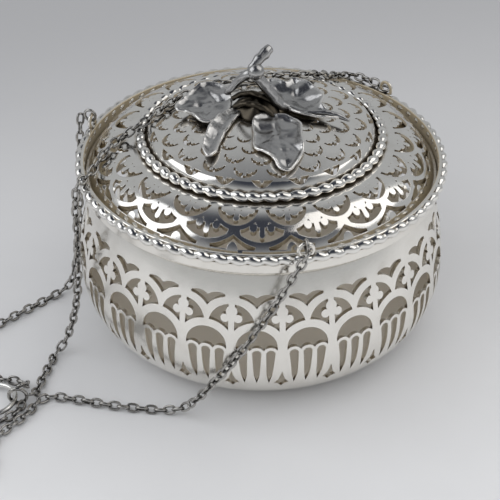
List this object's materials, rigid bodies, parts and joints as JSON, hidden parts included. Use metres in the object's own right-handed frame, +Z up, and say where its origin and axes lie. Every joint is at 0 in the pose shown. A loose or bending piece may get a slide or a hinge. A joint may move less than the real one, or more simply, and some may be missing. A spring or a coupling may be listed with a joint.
{
  "type": "potpourri holder",
  "caption": "Squat round pierced metal bowl with a lift-off pierced lid, twisted wire edges, a leaf and branch finial and fine hanging chains.",
  "frame": {"origin": "centre of the flat base of the bowl, on the surface it stands on", "axes": "+Z up along the axis of the bowl; -Y is the front of the picture; +X is its right side; the chains lie towards -X"},
  "size_m": [0.1638, 0.129, 0.0871],
  "materials": {
    "bowl_silver": "polished",
    "rim_silver": "polished",
    "lid_silver": "polished",
    "finial_silver": "polished",
    "inner_silver": "satin",
    "chain_silver": "satin",
    "ring_silver": "polished"
  },
  "bodies": {
    "holder": {"bowl_shell": "bowl_silver", "rim_band": "rim_silver", "lid_seat": "inner_silver", "rim_rope": "rim_silver", "eyelet_front": "rim_silver", "eyelet_right": "rim_silver", "eyelet_left": "rim_silver", "end_ring_front": "chain_silver", "end_ring_right": "chain_silver", "end_ring_left": "chain_silver", "chain_front": "chain_silver", "chain_left": "chain_silver", "chain_back_rim": "chain_silver", "chain_back_fall": "chain_silver", "gather_ring": "chain_silver"},
    "lid": {"lid_outer": "lid_silver", "lid_bezel": "inner_silver", "lid_rope": "lid_silver", "lid_dome": "lid_silver", "finial_foot": "finial_silver", "finial_stud": "inner_silver", "finial_washer": "inner_silver", "finial_nut": "inner_silver", "finial_branch": "finial_silver", "finial_twig": "finial_silver", "finial_bud": "finial_silver", "finial_tendril": "finial_silver", "leaf_left": "finial_silver", "leaf_back": "finial_silver", "leaf_front": "finial_silver", "leaf_fold": "finial_silver", "chain_back_lid": "chain_silver"},
    "ring": {"hanging_ring": "ring_silver"}
  },
  "joints": [
    {"name": "lid_lift", "type": "slide", "parent": "holder", "child": "lid", "axis": [0, 0, 1], "range_m": [0, 0.03]},
    {"name": "ring_swing", "type": "hinge", "parent": "holder", "child": "ring", "pos_m": [-0.0662, -0.0432, 0.0021], "axis": [0, 1, 0], "range_deg": [0, 90]}
  ]
}
